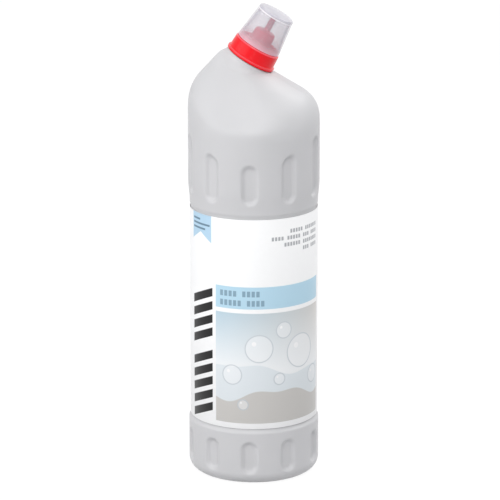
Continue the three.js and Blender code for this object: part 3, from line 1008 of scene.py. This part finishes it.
rise = v - (u - BARS_LEVEL_AT) * BAR_SLOPE
across_bars = (u - BARS_LEFT).least(BARS_RIGHT - u)
for first, number in BAR_GROUPS:
    last = first + BAR_PITCH * number - 1
    column = (rise - (first - 1)).least(last - rise).least(across_bars).step(0.3)
    bars = stripes(rise, first, BAR_PITCH, BAR_THICK / BAR_PITCH, 0.04)
    ink = (column * bars).mix(ink, linear(22, 22, 24))
print("print nodes in all:", len(film.node_tree.nodes))

# %% [markdown]
# The film is smoother than the bottle, with a satin varnish. The inks hardly change its gloss, so only
# the film's fine grain varies the roughness and gives a very shallow bump.

# %% Label finish
ink.into(shader, "Base Color")
(film_grain * 0.06 + 0.32).into(shader, "Roughness")
bump(graph, shader, film_grain, 0.04, 0.0001)
label.data.materials.append(film)
print("label material:", label.data.materials[0].name)

# %% [markdown]
# ## Studio floor
#
# A product photograph stands on white paper that is so evenly lit that it vanishes. A white floor with
# strong lamps would light the bottle from below as well. Instead the floor is plain pale paper for the
# light, and rays that come straight from the camera, a reflection or a clear wall see mostly a white
# glow. The rest of what they see is the lit floor, so the bottle keeps a soft shadow.

# %% Floor
FLOOR_HALF = 3
FLOOR_BELOW = 0.0002  # metres, so that the base and the floor don't share a plane
GLOW_SHARE = 0.8
WHITE = (1, 1, 1, 1)


def shows_backdrop(graph):
    """1 for camera rays and for what gloss and clear walls show, 0 for the light on the object."""
    rays = graph.add("ShaderNodeLightPath")
    gloss_or_clear = rays.output("Is Glossy Ray").most(rays.output("Is Transmission Ray"))
    return rays.output("Is Camera Ray").most(gloss_or_clear)


floor_mesh = bpy.data.meshes.new("floor")
corners = [(x * FLOOR_HALF, y * FLOOR_HALF, 0) for x, y in ((-1, -1), (1, -1), (1, 1), (-1, 1))]
floor_mesh.from_pydata(corners, [], [(0, 1, 2, 3)])
floor = bpy.data.objects.new("floor", floor_mesh)
floor.location.z = -FLOOR_BELOW
bpy.context.scene.collection.objects.link(floor)
pale, graph, shader = new_material("pale_floor", Base_Color=linear(196, 196, 197), Roughness=0.7)
glow = graph.add("ShaderNodeEmission", None, Color=WHITE, Strength=1.17)
lit_floor = Socket(graph.tree, shader.outputs["BSDF"])
seen_as_glow = shows_backdrop(graph) * GLOW_SHARE
seen_floor = graph.add("ShaderNodeMixShader", None, seen_as_glow, lit_floor, glow)
seen_floor.into(graph.tree.nodes["Material Output"], "Surface")
floor.data.materials.append(pale)
print("floor width, m:", floor.dimensions.x)

# %% [markdown]
# ## Surround and lamps
#
# The world is a light grey room for the light and white for the eye, by the same switch as the floor.
# The tones in the photograph show large soft light from the left and from above in front, and some from
# behind on the right. Four area lamps of 0.6 to 1.2 metres give it, and a narrow strip in front adds an
# upright line of gloss. All are aimed at the bottle's middle. Their strengths were set so that the white
# film comes out just white and the body light grey.

# %% Surround
world = bpy.data.worlds.new("studio")
bpy.context.scene.world = world
world.use_nodes = True
world_nodes = world.node_tree.nodes
graph = Socket(world.node_tree)
surround = graph.add("ShaderNodeBackground", None, Color=(0.97, 0.98, 1, 1), Strength=0.59)
white = graph.add("ShaderNodeBackground", None, Color=WHITE, Strength=1)
room = graph.add("ShaderNodeMixShader", None, shows_backdrop(graph), surround, white)
room.into(world_nodes["World Output"], "Surface")
world_nodes.remove(world_nodes["Background"])
print("world nodes:", len(world_nodes))

# %% Lamps
LAMP_AIM = Vector((0, 0, 0.16))  # metres


def area_lamp(name, place, size, power):
    data = bpy.data.lights.new(name, "AREA")
    data.shape = "RECTANGLE"
    data.size, data.size_y = size
    data.energy = power
    lamp = bpy.data.objects.new(name, data)
    lamp.location = place
    lamp.rotation_euler = (LAMP_AIM - Vector(place)).to_track_quat("-Z", "Y").to_euler()
    bpy.context.scene.collection.objects.link(lamp)


area_lamp("key_left", (-0.9, -0.9, 0.7), (0.9, 1.2), 4)
area_lamp("side_left", (-1.2, -0.3, 0.5), (0.6, 1.2), 2.85)
area_lamp("front_top", (0.1, -1.0, 1.2), (0.8, 0.6), 6.5)
area_lamp("front_strip", (0.1, -1.7, 0.45), (0.06, 1.2), 1.2)
area_lamp("back_right", (0.7, 0.5, 1.2), (0.8, 0.8), 6.5)

# %% [markdown]
# ## Camera
#
# The label's edges are seen as ellipses that are about a quarter as high as they are wide, so the
# photograph looks down about 15 degrees. A long lens two metres away gives its weak perspective, and the
# camera stands 4 degrees round to the right of the label's front.

# %% Camera
AZIMUTH = math.radians(4)
ELEVATION = math.radians(15)
DISTANCE = 2.0
CAMERA_AIM = Vector((-0.0024, 0, 0.1403))  # metres

level = math.cos(ELEVATION)
back = Vector((math.sin(AZIMUTH) * level, -math.cos(AZIMUTH) * level, math.sin(ELEVATION)))
camera_data = bpy.data.cameras.new("camera")
camera_data.lens = 232
camera_data.sensor_width = 36
camera_data.clip_end = 20
camera = bpy.data.objects.new("camera", camera_data)
camera.location = CAMERA_AIM + DISTANCE * back
camera.rotation_euler = (-back).to_track_quat("-Z", "Y").to_euler()
bpy.context.scene.collection.objects.link(camera)
bpy.context.scene.camera = camera
bpy.context.scene.view_settings.view_transform = "Standard"
print("camera at, m:", camera.location)
